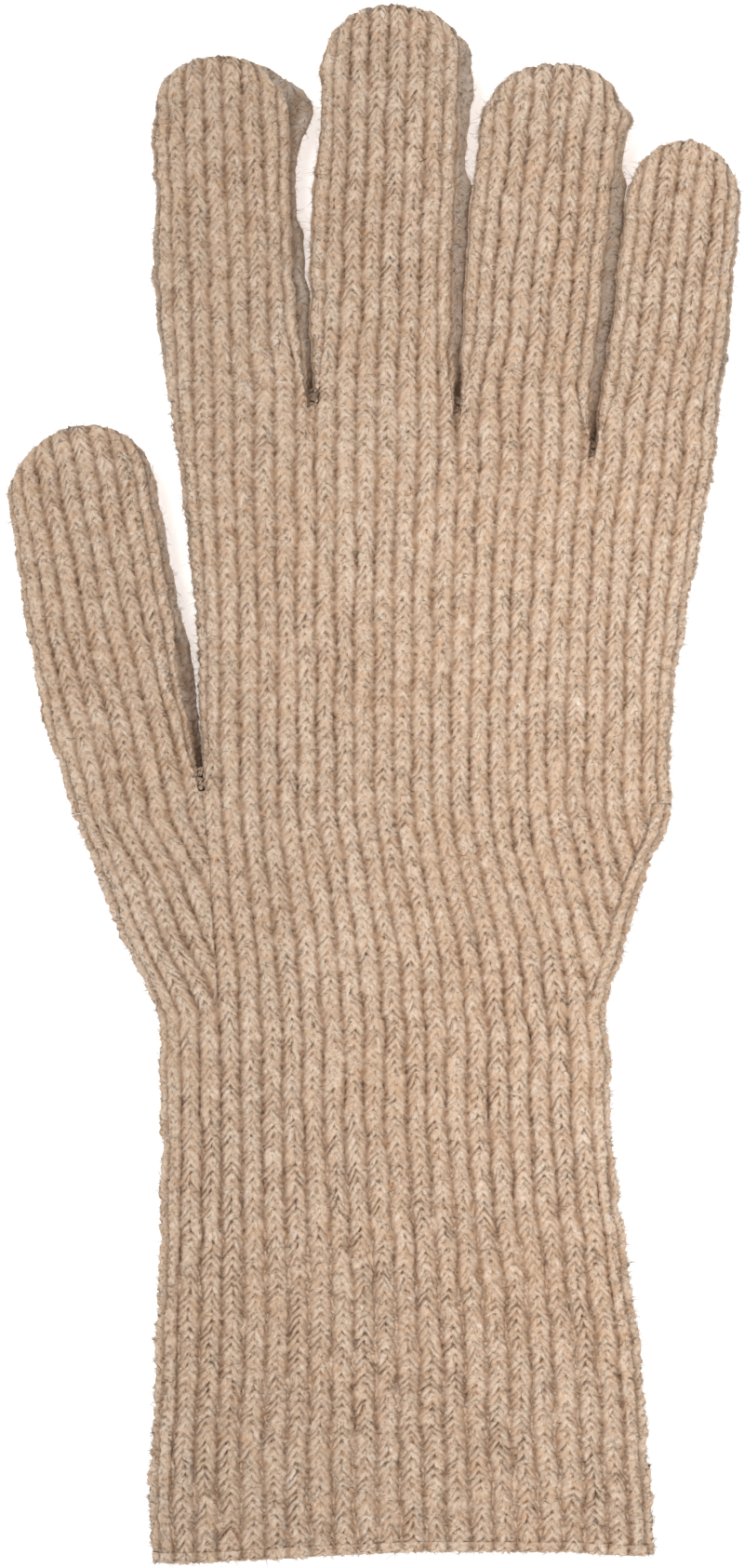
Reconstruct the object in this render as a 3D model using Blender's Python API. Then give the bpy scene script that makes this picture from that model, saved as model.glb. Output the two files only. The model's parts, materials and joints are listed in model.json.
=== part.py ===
"""A knitted glove with a long cuff, lying flat on its back, palm side up.

The glove is a chain of hollow knitted tubes: a cuff with a bound-off hem, a palm
knitted in three stages, four finger tubes and a thumb tube.  Between the stiffer
stretches sit soft sleeves of the same fabric, and every fold line of the glove runs
through the middle of one sleeve.

Frame: metres, +Z up.  The origin is the middle of the footprint, on the surface the
glove rests on.  +Y runs to the fingertips and the thumb points to -X.
"""
import math

import bmesh
import bpy
from mathutils import Vector

MM = 0.001

# ---- driving dimensions -------------------------------------------------------------
GLOVE_LENGTH = 286.5 * MM       # hem edge to the middle fingertip
GLOVE_SPAN = 135.4 * MM         # thumb's outer edge to the little finger's outer edge
PIECE_GAP = 0.3 * MM            # daylight between two neighbouring pieces
FINGER_GAP = 1.1 * MM           # daylight between two neighbouring finger tubes
FABRIC = 2.2 * MM               # thickness of the ribbed fabric

HAND_THICK = 11.0 * MM          # both layers of the hand and cuff with the air between
FINGER_THICK = 10.0 * MM
THUMB_THICK = 10.5 * MM

HEM_DEPTH = 2.6 * MM            # the bound-off edge
HEM_LEFT = -40.9 * MM
HEM_RIGHT = 51.7 * MM
CUFF_WAIST_Y = -70.0 * MM       # where the cuff stops tapering
CUFF_WAIST_LEFT = -39.1 * MM
CUFF_WAIST_RIGHT = 44.6 * MM

WRIST_Y = -42.0 * MM            # narrowest line, and the wrist's fold line
WRIST_LEFT = -39.6 * MM
WRIST_RIGHT = 43.0 * MM
WRIST_REACH = 5.0 * MM          # half the wrist sleeve's length

THUMB_CROTCH = Vector((-31.5, -1.4)) * MM
THUMB_LEAN = math.radians(10.5)         # thumb's tilt away from +Y, towards -X
THUMB_ROOT_WIDTH = 24.2 * MM
THUMB_WIDTH = 27.4 * MM
THUMB_LENGTH = 70.4 * MM                # crotch line to thumb tip
THUMB_KNUCKLE = 37.0 * MM               # crotch line to the thumb's fold line
THUMB_REACH = 4.6 * MM                  # half a thumb sleeve's length

HEEL_RIGHT = 54.7 * MM          # right edge beside the thumb crotch
PALM_MID_Y = 34.0 * MM
PALM_MID_LEFT = -33.1 * MM
PALM_MID_RIGHT = 58.4 * MM
FOUR_FINGER_Y = 59.2 * MM       # the little finger joins the palm here
FOUR_FINGER_LEFT = -35.9 * MM
FOUR_FINGER_RIGHT = 62.6 * MM
THREE_FINGER_LEFT_Y = 69.8 * MM         # end of the palm beside the index finger
THREE_FINGER_RIGHT_Y = 66.0 * MM        # end of the palm beside the ring finger

KNUCKLE_REACH = 4.5 * MM        # half a finger sleeve's length
ROUNDING = 12.5 * MM            # length of a fingertip's rounded end

# Each finger: crotch on its left, crotch on its right, and its free end.
INDEX_LEFT_X = -37.2 * MM
CROTCH_INDEX_MIDDLE_X = -11.4 * MM
CROTCH_MIDDLE_RING_X = 15.2 * MM
CROTCH_RING_LITTLE_X = 39.9 * MM

ARC_STEPS = 6                   # facets on the rounded edge of every tube
TIP_RINGS = 5                   # rings on a fingertip's rounded end

YARN_COLOUR = (0.52, 0.36, 0.26, 1.0)
DARN_COLOUR = (0.46, 0.31, 0.22, 1.0)
KNIT_ROUGHNESS = 0.92


# ---- outline helpers ------------------------------------------------------------------
def mix(a, b, t):
    """Point or number a share t of the way from a to b."""
    return a + (b - a) * t


def across_palm_end(x):
    """Y of the sloping line where the three-finger palm ends."""
    t = (x - INDEX_LEFT_X) / (CROTCH_RING_LITTLE_X - INDEX_LEFT_X)
    return mix(THREE_FINGER_LEFT_Y, THREE_FINGER_RIGHT_Y, t)


def station(points, thick, lift=0.0):
    """One cross-section: plan points from left to right, its thickness, its underside."""
    return {"points": [Vector(p) for p in points], "thick": thick, "lift": lift}


def inset(sec, wall):
    """The same cross-section taken one fabric thickness inside."""
    pts = [p.copy() for p in sec["points"]]
    pts[0] += (pts[1] - pts[0]).normalized() * wall
    pts[-1] += (pts[-2] - pts[-1]).normalized() * wall
    return station(pts, sec["thick"] - 2.0 * wall, sec["lift"] + wall)


def ring_points(sec):
    """Points round a flat tube with half-round edges, starting under the left edge."""
    pts = sec["points"]
    radius = sec["thick"] / 2.0
    mid_z = sec["lift"] + radius
    into_left = (pts[1] - pts[0]).normalized()
    into_right = (pts[-2] - pts[-1]).normalized()
    left = pts[0] + into_left * radius
    right = pts[-1] + into_right * radius
    ring = []
    for k in range(ARC_STEPS + 1):
        a = math.pi * (k / ARC_STEPS - 0.5)
        p = left - into_left * (radius * math.cos(a))
        ring.append(Vector((p.x, p.y, mid_z + radius * math.sin(a))))
    for p in pts[1:-1]:
        ring.append(Vector((p.x, p.y, mid_z + radius)))
    for k in range(ARC_STEPS + 1):
        a = math.pi * (0.5 - k / ARC_STEPS)
        p = right - into_right * (radius * math.cos(a))
        ring.append(Vector((p.x, p.y, mid_z + radius * math.sin(a))))
    for p in reversed(pts[1:-1]):
        ring.append(Vector((p.x, p.y, mid_z - radius)))
    return ring


# ---- mesh helpers ---------------------------------------------------------------------
def add_ring(bm, sec, origin):
    """Put one cross-section's points into the mesh."""
    return [bm.verts.new(p - origin) for p in ring_points(sec)]


def skin(bm, first, second):
    """Quads between two rings of equal size."""
    count = len(first)
    for i in range(count):
        j = (i + 1) % count
        bm.faces.new((first[i], first[j], second[j], second[i]))


def make_material(name, colour):
    """Plain matte wool."""
    mat = bpy.data.materials.new(name)
    mat.use_nodes = True
    shader = mat.node_tree.nodes["Principled BSDF"]
    shader.inputs["Base Color"].default_value = colour
    shader.inputs["Roughness"].default_value = KNIT_ROUGHNESS
    shader.inputs["Metallic"].default_value = 0.0
    return mat


def finish_object(name, bm, parent, colour):
    """Close the mesh's orientation, shade it and hang it on its joint's empty."""
    bmesh.ops.recalc_face_normals(bm, faces=bm.faces[:])
    mesh = bpy.data.meshes.new(name)
    bm.to_mesh(mesh)
    bm.free()
    mesh.shade_smooth()
    mesh.set_sharp_from_angle(angle=math.radians(40.0))
    mesh.materials.append(make_material(name, colour))
    obj = bpy.data.objects.new(name, mesh)
    bpy.context.scene.collection.objects.link(obj)
    obj.parent = parent
    return obj


def knit_tube(name, sections, axis, closed=()):
    """Hollow tube through the given cross-sections, open at both ends.

    With closed given, those extra pairs of outer and inner cross-sections carry the
    tube on to a closed, rounded end.
    """
    bm = bmesh.new()
    origin = axis["at"]
    outer = [add_ring(bm, sec, origin) for sec in sections]
    inner = [add_ring(bm, inset(sec, FABRIC), origin) for sec in sections]
    for out_sec, in_sec in closed:
        outer.append(add_ring(bm, out_sec, origin))
        inner.append(add_ring(bm, in_sec, origin))
    for rings in (outer, inner):
        for first, second in zip(rings, rings[1:]):
            skin(bm, first, second)
    skin(bm, outer[0], inner[0])
    if closed:
        bm.faces.new(outer[-1])
        bm.faces.new(inner[-1])
    else:
        skin(bm, outer[-1], inner[-1])
    return finish_object(name, bm, axis["empty"], YARN_COLOUR)


def joint_axis(name, at, parent=None):
    """An empty on a fold line, under the empty of the piece it folds on."""
    empty = bpy.data.objects.new(name, None)
    empty.empty_display_size = 5.0 * MM
    bpy.context.scene.collection.objects.link(empty)
    base = Vector((0.0, 0.0, 0.0))
    if parent is not None:
        empty.parent = parent["empty"]
        base = parent["at"]
    empty.location = at - base
    return {"empty": empty, "at": at}


def darn(name, at, lean, thick, axis):
    """Sewn bar that closes a crotch: a head in each groove and a thin web between."""
    web = (FINGER_GAP - 2.0 * PIECE_GAP) / 2.0
    head = 1.2 * MM
    length = 2.8 * MM
    skin_depth = 0.4 * MM
    head_depth = 1.4 * MM
    low = skin_depth
    high = thick - skin_depth
    profile = [
        (-head, low), (head, low), (head, low + head_depth),
        (web, low + 2.0 * head_depth), (web, high - 2.0 * head_depth),
        (head, high - head_depth), (head, high), (-head, high),
        (-head, high - head_depth), (-web, high - 2.0 * head_depth),
        (-web, low + 2.0 * head_depth), (-head, low + head_depth),
    ]
    along = Vector((math.sin(lean), math.cos(lean), 0.0))
    side = Vector((math.cos(lean), -math.sin(lean), 0.0))
    bm = bmesh.new()
    base = []
    for x, z in profile:
        p = Vector((at.x, at.y, 0.0)) + side * x + Vector((0.0, 0.0, z))
        base.append(bm.verts.new(p - axis["at"]))
    face = bm.faces.new(base)
    pulled = bmesh.ops.extrude_face_region(bm, geom=[face])
    moved = [v for v in pulled["geom"] if isinstance(v, bmesh.types.BMVert)]
    bmesh.ops.translate(bm, verts=moved, vec=along * length)
    return finish_object(name, bm, axis["empty"], DARN_COLOUR)


# ---- cuff and palm --------------------------------------------------------------------
def palm_station(y, left, right, kink=None, left_y=None):
    """Cross-section of the hand; with a kink its left part tilts towards the thumb."""
    first = (left, y if left_y is None else left_y)
    points = [first, (right, y)]
    if kink is not None:
        points.insert(1, kink)
    return station(points, HAND_THICK)


def build_cuff(root):
    """Cuff tube and its bound-off hem."""
    hem_y = -GLOVE_LENGTH / 2.0
    seam_y = hem_y + HEM_DEPTH
    top_y = WRIST_Y - WRIST_REACH
    t = (top_y - CUFF_WAIST_Y) / (WRIST_Y - CUFF_WAIST_Y)
    top_left = mix(CUFF_WAIST_LEFT, WRIST_LEFT, t)
    top_right = mix(CUFF_WAIST_RIGHT, WRIST_RIGHT, t)
    knit_tube("hem_bind_off", [
        palm_station(hem_y, HEM_LEFT, HEM_RIGHT),
        palm_station(seam_y - PIECE_GAP / 2.0, HEM_LEFT, HEM_RIGHT),
    ], root)
    knit_tube("cuff_tube", [
        palm_station(seam_y + PIECE_GAP / 2.0, HEM_LEFT, HEM_RIGHT),
        palm_station(CUFF_WAIST_Y, CUFF_WAIST_LEFT, CUFF_WAIST_RIGHT),
        palm_station(top_y - PIECE_GAP / 2.0, top_left, top_right),
    ], root)
    return top_left, top_right


def build_palm(root, wrist, cuff_top):
    """Wrist sleeve and the three stages of the palm."""
    thumb_axis = Vector((-math.sin(THUMB_LEAN), math.cos(THUMB_LEAN)))
    thumb_side = Vector((math.cos(THUMB_LEAN), math.sin(THUMB_LEAN)))
    root_left = THUMB_CROTCH - thumb_side * THUMB_ROOT_WIDTH
    low_y = WRIST_Y - WRIST_REACH
    high_y = WRIST_Y + WRIST_REACH
    t = (high_y - WRIST_Y) / (root_left.y - WRIST_Y)
    heel_left = mix(WRIST_LEFT, root_left.x, t)
    heel_right = mix(WRIST_RIGHT, HEEL_RIGHT, t)
    half_gap = PIECE_GAP / 2.0
    knit_tube("wrist_sleeve", [
        palm_station(low_y + half_gap, *cuff_top),
        palm_station(WRIST_Y, WRIST_LEFT, WRIST_RIGHT),
        palm_station(high_y - half_gap, heel_left, heel_right),
    ], root)
    kink = THUMB_CROTCH - Vector((0.0, half_gap))
    low_kink = Vector((mix(heel_left, heel_right, 0.22), high_y + half_gap))
    top_left = root_left - thumb_axis * half_gap
    knit_tube("lower_palm", [
        palm_station(high_y + half_gap, heel_left, heel_right, kink=low_kink),
        station([mix(Vector((heel_left, high_y)), root_left, 0.5),
                 mix(low_kink, kink, 0.5),
                 (mix(heel_right, HEEL_RIGHT, 0.62), mix(high_y, kink.y, 0.5))], HAND_THICK),
        station([top_left, kink, (HEEL_RIGHT, kink.y)], HAND_THICK),
    ], wrist)
    start_y = THUMB_CROTCH.y + half_gap
    knit_tube("main_palm", [
        palm_station(start_y, THUMB_CROTCH.x + PIECE_GAP, HEEL_RIGHT),
        palm_station(start_y + 15.0 * MM, mix(THUMB_CROTCH.x, PALM_MID_LEFT, 0.4), HEEL_RIGHT),
        palm_station(PALM_MID_Y, PALM_MID_LEFT, PALM_MID_RIGHT),
        palm_station(FOUR_FINGER_Y - half_gap, FOUR_FINGER_LEFT, FOUR_FINGER_RIGHT),
    ], wrist)
    side_right = CROTCH_RING_LITTLE_X - FINGER_GAP / 2.0
    knit_tube("upper_palm", [
        palm_station(FOUR_FINGER_Y + half_gap, FOUR_FINGER_LEFT, side_right),
        station([(INDEX_LEFT_X, THREE_FINGER_LEFT_Y - half_gap),
                 (side_right, across_palm_end(side_right) - half_gap)], HAND_THICK),
    ], wrist)


# ---- fingers --------------------------------------------------------------------------
def digit_station(spine, side, width, thick, start=None):
    """Cross-section of a finger tube, square to its spine or along its start line."""
    if start is not None:
        return station(start, thick)
    return station([spine - side * (width / 2.0), spine + side * (width / 2.0)], thick)


def rounded_end(base, tip, side, width, thick):
    """Outer and inner cross-sections of a closed, rounded fingertip."""
    along = tip - base
    last = math.radians(80.0)
    full = math.sin(last)
    pairs = []
    for k in range(1, TIP_RINGS + 1):
        angle = last * k / TIP_RINGS
        pair = []
        for wall in (0.0, FABRIC):
            reach = along.length - wall
            centre = base + along.normalized() * (reach * math.sin(angle) / full)
            half = (width / 2.0 - wall) * math.cos(angle) ** 0.8
            depth = (thick - 2.0 * wall) * math.cos(angle) ** 0.45
            depth = min(depth, 1.8 * half)
            lift = (thick - depth) / 2.0
            pair.append(station([centre - side * half, centre + side * half], depth, lift))
        pairs.append(pair)
    return pairs


def build_finger(name, hand, left_x, right_x, tip, width, knuckle, end_knuckle, start_y=None):
    """One finger: three sleeves, two tubes and a closed tip.

    knuckle and end_knuckle are the distances of the two outer fold lines from the
    finger's start; the first fold line is one sleeve reach from the start.
    """
    half_gap = PIECE_GAP / 2.0
    clear = FINGER_GAP / 2.0
    if start_y is None:
        left_y = across_palm_end(left_x)
        right_y = across_palm_end(right_x)
    else:
        left_y = start_y
        right_y = start_y
    start = Vector(((left_x + right_x) / 2.0, (left_y + right_y) / 2.0))
    root_width = right_x - left_x - 2.0 * clear
    run = tip.y - start.y
    side = Vector((1.0, 0.0))
    reach = KNUCKLE_REACH

    def spine(s):
        return mix(start, tip, s / run)

    def wide(s):
        return mix(root_width, width, min(1.0, s / (0.6 * run)))

    def cut(s):
        return digit_station(spine(s), side, wide(s), FINGER_THICK)

    low = [(start.x - root_width / 2.0, left_y + half_gap),
           (start.x + root_width / 2.0, right_y + half_gap)]
    fold_z = FINGER_THICK / 2.0
    fold = [reach, knuckle, end_knuckle]
    axes = []
    parent = hand
    for label, s in zip(("root", "knuckle", "end"), fold):
        p = spine(s)
        parent = joint_axis(f"{name}_{label}_axis", Vector((p.x, p.y, fold_z)), parent)
        axes.append(parent)
    knit_tube(f"{name}_root_sleeve",
              [station(low, FINGER_THICK), cut(2.0 * reach - half_gap)], hand)
    knit_tube(f"{name}_base_tube",
              [cut(2.0 * reach + half_gap), cut(knuckle - reach - half_gap)], axes[0])
    knit_tube(f"{name}_knuckle_sleeve",
              [cut(knuckle - reach + half_gap), cut(knuckle + reach - half_gap)], axes[0])
    knit_tube(f"{name}_mid_tube",
              [cut(knuckle + reach + half_gap), cut(end_knuckle - reach - half_gap)], axes[1])
    knit_tube(f"{name}_end_sleeve",
              [cut(end_knuckle - reach + half_gap), cut(end_knuckle + reach - half_gap)],
              axes[1])
    shoulder = run - ROUNDING
    tip_start = end_knuckle + reach + half_gap
    knit_tube(f"{name}_tip", [cut(tip_start), cut(max(shoulder, tip_start + 0.5 * MM))],
              axes[2],
              closed=rounded_end(spine(shoulder), tip, side, width, FINGER_THICK))


def build_thumb(hand):
    """The thumb: two sleeves, one tube and a closed tip, all along its lean."""
    along = Vector((-math.sin(THUMB_LEAN), math.cos(THUMB_LEAN)))
    side = Vector((math.cos(THUMB_LEAN), math.sin(THUMB_LEAN)))
    half_gap = PIECE_GAP / 2.0
    clear = FINGER_GAP / 2.0
    right_edge = THUMB_CROTCH - side * clear
    start = right_edge - side * ((THUMB_ROOT_WIDTH - clear) / 2.0)

    def wide(s):
        return mix(THUMB_ROOT_WIDTH - clear, THUMB_WIDTH, min(1.0, s / (0.45 * THUMB_LENGTH)))

    def cut(s):
        return digit_station(start + along * s, side, wide(s), THUMB_THICK)

    def fold(label, s, parent):
        p = start + along * s
        return joint_axis(f"thumb_{label}_axis", Vector((p.x, p.y, THUMB_THICK / 2.0)), parent)

    root = fold("root", THUMB_REACH, hand)
    knuckle = fold("knuckle", THUMB_KNUCKLE, root)
    knit_tube("thumb_root_sleeve",
              [cut(half_gap), cut(2.0 * THUMB_REACH - half_gap)], hand)
    knit_tube("thumb_base_tube",
              [cut(2.0 * THUMB_REACH + half_gap),
               cut(0.45 * THUMB_LENGTH),
               cut(THUMB_KNUCKLE - THUMB_REACH - half_gap)], root)
    knit_tube("thumb_knuckle_sleeve",
              [cut(THUMB_KNUCKLE - THUMB_REACH + half_gap),
               cut(THUMB_KNUCKLE + THUMB_REACH - half_gap)], root)
    shoulder = THUMB_LENGTH - ROUNDING
    base = start + along * shoulder
    tip = base + along * ROUNDING
    knit_tube("thumb_tip",
              [cut(THUMB_KNUCKLE + THUMB_REACH + half_gap), cut(shoulder)], knuckle,
              closed=rounded_end(base, tip, side, THUMB_WIDTH, THUMB_THICK))


def build_darns(hand):
    """The sewn bars that close the four crotches."""
    above = 1.0 * MM
    crotches = (
        ("index_middle_darn", CROTCH_INDEX_MIDDLE_X, across_palm_end(CROTCH_INDEX_MIDDLE_X)),
        ("middle_ring_darn", CROTCH_MIDDLE_RING_X, across_palm_end(CROTCH_MIDDLE_RING_X)),
        ("ring_little_darn", CROTCH_RING_LITTLE_X, FOUR_FINGER_Y),
    )
    for name, x, y in crotches:
        darn(name, Vector((x, y + above)), 0.0, FINGER_THICK, hand)
    beside_thumb = THUMB_CROTCH + Vector((-0.4 * MM, 1.6 * MM))
    darn("thumb_darn", beside_thumb, -THUMB_LEAN / 2.0, THUMB_THICK, hand)


# ---- the glove ------------------------------------------------------------------------
def build_glove():
    """Every piece of the glove, under the empties of its fold lines."""
    root = joint_axis("glove_root", Vector((0.0, 0.0, 0.0)))
    wrist = joint_axis("wrist_axis", Vector((0.0, WRIST_Y, HAND_THICK / 2.0)), root)
    cuff_top = build_cuff(root)
    build_palm(root, wrist, cuff_top)
    top = GLOVE_LENGTH / 2.0
    build_finger("index", wrist, INDEX_LEFT_X - FINGER_GAP / 2.0, CROTCH_INDEX_MIDDLE_X,
                 Vector((-26.6 * MM, 133.8 * MM)), 25.6 * MM, 25.0 * MM, 44.0 * MM)
    build_finger("middle", wrist, CROTCH_INDEX_MIDDLE_X, CROTCH_MIDDLE_RING_X,
                 Vector((4.2 * MM, top)), 26.8 * MM, 28.0 * MM, 50.0 * MM)
    build_finger("ring", wrist, CROTCH_MIDDLE_RING_X, CROTCH_RING_LITTLE_X,
                 Vector((33.8 * MM, 132.5 * MM)), 26.2 * MM, 26.0 * MM, 46.0 * MM)
    build_finger("little", wrist, CROTCH_RING_LITTLE_X, FOUR_FINGER_RIGHT + FINGER_GAP / 2.0,
                 Vector((58.3 * MM, 118.5 * MM)), 21.3 * MM, 23.0 * MM, 40.5 * MM,
                 start_y=FOUR_FINGER_Y)
    build_thumb(wrist)
    build_darns(wrist)


def clear_scene():
    """Take every object out of the file the script is run in."""
    for obj in list(bpy.data.objects):
        bpy.data.objects.remove(obj, do_unlink=True)


clear_scene()
build_glove()
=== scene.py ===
"""Looks of a knitted glove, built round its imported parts.

The glove lies on its back, palm up, fingers towards +Y and the thumb towards -X.
Every tube of the glove is a grid of rings.  A ring runs up the left fold, across the
palm side, down the right fold and back under the glove.  Two numbers follow each grid
point: the rib it lies on and the course (row of stitches) it lies on.  Ribs, stitches,
colours and fibres all read those two numbers, so the knitting runs on from piece to
piece.  Lengths in this file are millimetres until a mesh is made.
"""
import json
import math

import bpy
import numpy as np
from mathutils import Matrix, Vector


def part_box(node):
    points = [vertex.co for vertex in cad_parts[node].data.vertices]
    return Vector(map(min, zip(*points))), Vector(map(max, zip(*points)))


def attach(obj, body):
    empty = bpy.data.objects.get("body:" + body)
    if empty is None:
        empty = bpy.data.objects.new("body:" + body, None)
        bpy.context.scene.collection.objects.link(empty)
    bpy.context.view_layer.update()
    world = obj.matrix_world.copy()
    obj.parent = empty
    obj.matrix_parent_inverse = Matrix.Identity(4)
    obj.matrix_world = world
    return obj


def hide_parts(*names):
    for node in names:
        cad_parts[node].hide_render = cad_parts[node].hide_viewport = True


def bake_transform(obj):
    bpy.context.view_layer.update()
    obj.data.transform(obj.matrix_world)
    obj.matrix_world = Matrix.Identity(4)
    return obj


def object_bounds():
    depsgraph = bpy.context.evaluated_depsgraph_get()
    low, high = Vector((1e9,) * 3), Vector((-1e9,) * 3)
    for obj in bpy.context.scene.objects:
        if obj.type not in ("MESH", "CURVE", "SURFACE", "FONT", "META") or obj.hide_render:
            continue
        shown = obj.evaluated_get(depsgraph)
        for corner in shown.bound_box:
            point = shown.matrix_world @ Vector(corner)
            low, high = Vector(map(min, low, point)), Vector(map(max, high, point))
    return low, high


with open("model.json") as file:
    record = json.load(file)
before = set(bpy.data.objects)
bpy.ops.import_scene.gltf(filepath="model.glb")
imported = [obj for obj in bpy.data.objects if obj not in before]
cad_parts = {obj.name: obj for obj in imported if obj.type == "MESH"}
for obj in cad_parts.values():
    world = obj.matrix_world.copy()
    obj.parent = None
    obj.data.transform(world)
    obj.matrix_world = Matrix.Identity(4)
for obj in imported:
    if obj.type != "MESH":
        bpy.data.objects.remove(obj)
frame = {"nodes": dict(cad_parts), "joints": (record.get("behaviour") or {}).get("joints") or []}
CAD_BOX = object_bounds()

MM = 0.001
JOINTS = {j["name"]: j for j in frame["joints"]}
FINGERS = ("index", "middle", "ring", "little")

# ---- mesh fineness
STEP = 0.28  # between grid points on the palm side
BACK_STEP = 0.45  # between grid points under the glove
FOLD_POINTS = 24  # grid points round one side fold
TIP_ROWS = 46  # rings on a rounded end
LIP_ROWS = 15  # rings round the hem's lip
LINING_STEP = 1.2
HAIRS_PER_MM2 = 2.1

# ---- fabric
RIB_DEPTH = 1.15  # depth of the valley between two ribs
STITCH_DEPTH = 0.30  # depth of the groove between two stitches
SPINE_DEPTH = 0.16  # depth of the groove along the middle of a rib
SPINE_HALF = 0.09  # its half width, in ribs
PUFF_DEPTH = 0.12  # how unevenly the ribs are filled
TUFT_DEPTH = 0.17  # relief of the matted tufts on a stitch
CREST_POWER = 1.85  # squareness of a rib's section
SCALLOP = 0.14  # how much a rib narrows between two stitches
STITCH_SLOPE = 2.9  # courses a stitch leg falls across one rib
LEG_X, LEG_Y = 0.81, 0.59  # direction across the yarn of a stitch leg
CUFF_COURSE = 1.64  # height of one course, in each stretch of the glove
HAND_COURSE = 1.70
FINGER_COURSE = 1.58
RIB_WIDTH = 3.6  # ribs of the fingers and the thumb
HAIR_LENGTH = 0.9  # mean length of a loose fibre
HAIR_HALF = 0.031  # half its width


# ---- random fields
SIZE = 97  # side of a table of seeded random numbers from -1 to 1
TABLES = [np.random.default_rng(k).random((SIZE, SIZE)) * 2.0 - 1.0 for k in range(11, 23)]


def wander(k, x, y):
    """Smooth random field number k, from -1 to 1, one wave about every two units."""
    table = TABLES[k]
    x0, y0 = np.floor(x), np.floor(y)
    i, j = x0.astype(int) % SIZE, y0.astype(int) % SIZE
    i1, j1 = (i + 1) % SIZE, (j + 1) % SIZE
    across, up = ramp(x - x0, 0.0, 1.0), ramp(y - y0, 0.0, 1.0)
    low = mix(table[i, j], table[i1, j], across)
    high = mix(table[i, j1], table[i1, j1], across)
    return mix(low, high, up)


def ramp(x, low, high):
    """0 at low, 1 at high, a smooth change between and no change beyond."""
    t = np.clip((x - low) / (high - low), 0.0, 1.0)
    return t * t * (3.0 - 2.0 * t)


def mix(a, b, t):
    """Point or number a share t of the way from a to b."""
    return a + (b - a) * t


def bell(x, half):
    """1 at zero, falling off smoothly on both sides."""
    return np.exp(-((x / half) ** 2))


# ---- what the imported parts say
def box(node):
    """Lowest and highest corner of a part, in millimetres."""
    return np.array(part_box(node)) / MM


def corners(node):
    """Corner points of a part."""
    mesh = frame["nodes"][node].data
    co = np.empty(len(mesh.vertices) * 3)
    mesh.vertices.foreach_get("co", co)
    return co.reshape(-1, 3) / MM


def fold_lines(*nodes):
    """Left and right edge of some parts: two arrays of (y, x), from their mid height."""
    sides = ([], [])
    for node in nodes:
        co = corners(node)
        low, high = co.min(0), co.max(0)
        level = co[np.abs(co[:, 2] - (low[2] + high[2]) / 2.0) < 0.3]
        middle = (low[0] + high[0]) / 2.0
        for side, sign in ((0, -1.0), (1, 1.0)):
            group = level[(level[:, 0] - middle) * sign > 0.0]
            for p in group:
                near = group[np.abs(group[:, 1] - p[1]) < 1.0]
                if (near[:, 0] * sign).max() - p[0] * sign < 1.0:
                    sides[side].append((p[1], p[0]))
    return [np.unique(np.round(s, 3), axis=0) for s in sides]


def edge_at(line, y):
    """X of an edge at y."""
    return np.interp(y, *line.T)


def joint_place(name):
    return np.array(JOINTS[name]["pos_m"]) / MM


def tip_of(number):
    """Y of a fingertip."""
    return box(f"{FINGERS[number]}_tip")[1][1]


THICK = box("cuff_tube")[1][2]
FINGER_THICK = box("index_base_tube")[1][2]
THUMB_THICK = box("thumb_base_tube")[1][2]
HEM_Y = box("hem_bind_off")[0][1]
HEM_END_Y = box("hem_bind_off")[1][1]
WRIST_Y = joint_place("wrist_bend")[1]
LOW_LINES = fold_lines("hem_bind_off", "cuff_tube", "wrist_sleeve", "lower_palm")
HIGH_LINES = fold_lines("main_palm", "upper_palm")
MAIN_RIGHT = fold_lines("main_palm")[1]
CROTCH_Y = box("main_palm")[0][1]
THUMB_CROTCH = np.array([edge_at(HIGH_LINES[0], CROTCH_Y), CROTCH_Y])
thumb_turn = np.array(JOINTS["thumb_root_bend"]["axis"][:2])
THUMB_SIDE = thumb_turn / np.hypot(*thumb_turn)
THUMB_ALONG = np.array([-THUMB_SIDE[1], THUMB_SIDE[0]])
THUMB_FRAME = np.array([THUMB_SIDE, THUMB_ALONG])
THUMB_TAN = THUMB_SIDE[1] / THUMB_SIDE[0]
THUMB_ROOT = box("lower_palm")[0][0]
FINGER_PARTS = ("root_sleeve", "base_tube", "knuckle_sleeve", "mid_tube", "end_sleeve")
FINGER_LINES = [fold_lines(*(f"{name}_{part}" for part in FINGER_PARTS)) for name in FINGERS]
CROTCH_X = [(a[1][0, 1] + b[0][0, 1]) / 2.0 for a, b in zip(FINGER_LINES, FINGER_LINES[1:])]
LITTLE_Y = box("little_root_sleeve")[0][1]
LINE_LEFT = FINGER_LINES[0][0][0, ::-1]
LINE_RIGHT = FINGER_LINES[2][1][0, ::-1]
ROOT_X = [LINE_LEFT[0], *CROTCH_X, MAIN_RIGHT[-1, 1]]


def line_y(x):
    """Y of the sloping line where the index, middle and ring fingers start."""
    t = (x - LINE_LEFT[0]) / (LINE_RIGHT[0] - LINE_LEFT[0])
    return mix(LINE_LEFT[1], LINE_RIGHT[1], t)


# ---- knitting fields
FULL_RIBS = 24  # ribs on the palm side of the cuff, fold to fold
SEAM_RIB = 4  # the thumb's seam runs up from the valley before this rib
HEEL_PITCH = 3.75  # rib spacing where the palm's ribs have spread fully
FAN_CENTRE = -7.1
FAN = 0.00233  # lean of a palm rib per millimetre from FAN_CENTRE
CUFF_DEEPER = 0.30  # share by which the lower cuff's valleys are deeper
EDGE_RIBS = 2  # ribs that follow the slanting right edge of the heel


def courses(y):
    """Number of courses between the hem and y."""
    stops = np.array([HEM_Y, WRIST_Y, LITTLE_Y, LITTLE_Y + 100.0])
    heights = np.array([CUFF_COURSE, HAND_COURSE, FINGER_COURSE])
    counts = np.concatenate([[0.0], np.cumsum(np.diff(stops) / heights)])
    return np.interp(y, stops, counts)


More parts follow.
